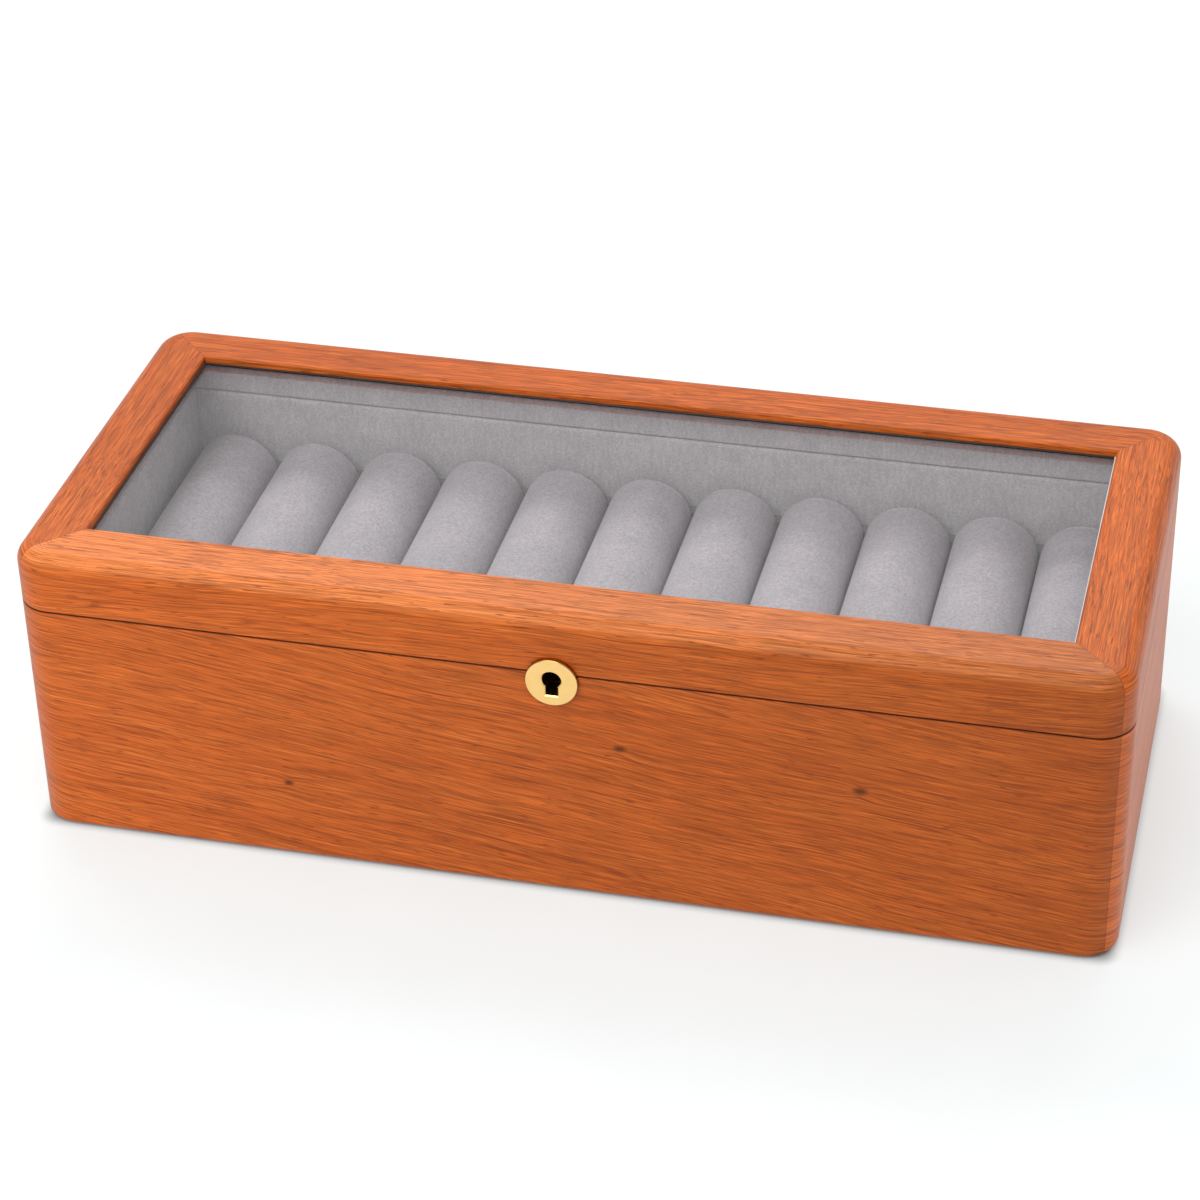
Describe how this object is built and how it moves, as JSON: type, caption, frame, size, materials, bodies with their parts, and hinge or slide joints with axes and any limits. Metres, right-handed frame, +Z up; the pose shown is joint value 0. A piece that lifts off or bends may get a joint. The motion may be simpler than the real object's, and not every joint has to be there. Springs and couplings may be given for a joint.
{
  "type": "bangle box",
  "caption": "Long wooden jewellery box with a hinged glass lid, a round brass lock and a row of padded lift-out rolls that bangles are threaded on.",
  "frame": {"origin": "centre of the rectangle that the box covers, on the surface that it stands on", "axes": "+X along the length, +Y towards the hinges, +Z up; the lock faces -Y"},
  "size_m": [0.4, 0.178, 0.118],
  "materials": {
    "cherry_wood": "satin lacquer",
    "panel_wood": "bare, sanded",
    "suede": "grey microsuede",
    "felt": "matt felt",
    "glass": "clear, polished",
    "brass": "polished"
  },
  "bodies": {
    "tray": {"base_front_wall": "cherry_wood", "base_back_wall": "cherry_wood", "base_left_wall": "cherry_wood", "base_right_wall": "cherry_wood", "base_bottom_panel": "panel_wood", "base_felt": "felt", "tray_liner_front": "suede", "tray_liner_back": "suede", "tray_liner_left": "suede", "tray_liner_right": "suede", "tray_floor_pad": "suede", "roll_rail_front": "suede", "roll_rail_back": "suede", "hinge_left_base_leaf": "brass", "hinge_left_pin": "brass", "hinge_right_base_leaf": "brass", "hinge_right_pin": "brass", "base_screws": "brass", "lock_escutcheon": "brass", "lock_barrel": "brass", "lock_case": "brass", "lock_cover": "brass"},
    "lid": {"lid_front_rail": "cherry_wood", "lid_back_rail": "cherry_wood", "lid_left_rail": "cherry_wood", "lid_right_rail": "cherry_wood", "lid_glass": "glass", "lid_liner_front": "suede", "lid_liner_back": "suede", "lid_liner_left": "suede", "lid_liner_right": "suede", "lid_screws": "brass", "hinge_left_lid_leaf": "brass", "hinge_right_lid_leaf": "brass", "lock_hook_plates": "brass"},
    "lock_bolt": {"lock_bolt": "brass"},
    "roll_01": {"roll_cover_01": "suede", "roll_core_01": "panel_wood"},
    "roll_02": {"roll_cover_02": "suede", "roll_core_02": "panel_wood"},
    "roll_03": {"roll_cover_03": "suede", "roll_core_03": "panel_wood"},
    "roll_04": {"roll_cover_04": "suede", "roll_core_04": "panel_wood"},
    "roll_05": {"roll_cover_05": "suede", "roll_core_05": "panel_wood"},
    "roll_06": {"roll_cover_06": "suede", "roll_core_06": "panel_wood"},
    "roll_07": {"roll_cover_07": "suede", "roll_core_07": "panel_wood"},
    "roll_08": {"roll_cover_08": "suede", "roll_core_08": "panel_wood"},
    "roll_09": {"roll_cover_09": "suede", "roll_core_09": "panel_wood"},
    "roll_10": {"roll_cover_10": "suede", "roll_core_10": "panel_wood"},
    "roll_11": {"roll_cover_11": "suede", "roll_core_11": "panel_wood"}
  },
  "joints": [
    {"name": "lid_hinge", "type": "hinge", "parent": "tray", "child": "lid", "pos_m": [0, 0.087, 0.0952], "axis": [-1, 0, 0], "range_deg": [0, 95]},
    {"name": "lock_bolt_slide", "type": "slide", "parent": "tray", "child": "lock_bolt", "axis": [1, 0, 0], "range_m": [0, 0.0028]},
    {"name": "roll_01_lift", "type": "slide", "parent": "tray", "child": "roll_01", "axis": [0, 0, 1], "range_m": [0, 0.025]},
    {"name": "roll_02_lift", "type": "slide", "parent": "tray", "child": "roll_02", "axis": [0, 0, 1], "range_m": [0, 0.025]},
    {"name": "roll_03_lift", "type": "slide", "parent": "tray", "child": "roll_03", "axis": [0, 0, 1], "range_m": [0, 0.025]},
    {"name": "roll_04_lift", "type": "slide", "parent": "tray", "child": "roll_04", "axis": [0, 0, 1], "range_m": [0, 0.025]},
    {"name": "roll_05_lift", "type": "slide", "parent": "tray", "child": "roll_05", "axis": [0, 0, 1], "range_m": [0, 0.025]},
    {"name": "roll_06_lift", "type": "slide", "parent": "tray", "child": "roll_06", "axis": [0, 0, 1], "range_m": [0, 0.025]},
    {"name": "roll_07_lift", "type": "slide", "parent": "tray", "child": "roll_07", "axis": [0, 0, 1], "range_m": [0, 0.025]},
    {"name": "roll_08_lift", "type": "slide", "parent": "tray", "child": "roll_08", "axis": [0, 0, 1], "range_m": [0, 0.025]},
    {"name": "roll_09_lift", "type": "slide", "parent": "tray", "child": "roll_09", "axis": [0, 0, 1], "range_m": [0, 0.025]},
    {"name": "roll_10_lift", "type": "slide", "parent": "tray", "child": "roll_10", "axis": [0, 0, 1], "range_m": [0, 0.025]},
    {"name": "roll_11_lift", "type": "slide", "parent": "tray", "child": "roll_11", "axis": [0, 0, 1], "range_m": [0, 0.025]}
  ]
}
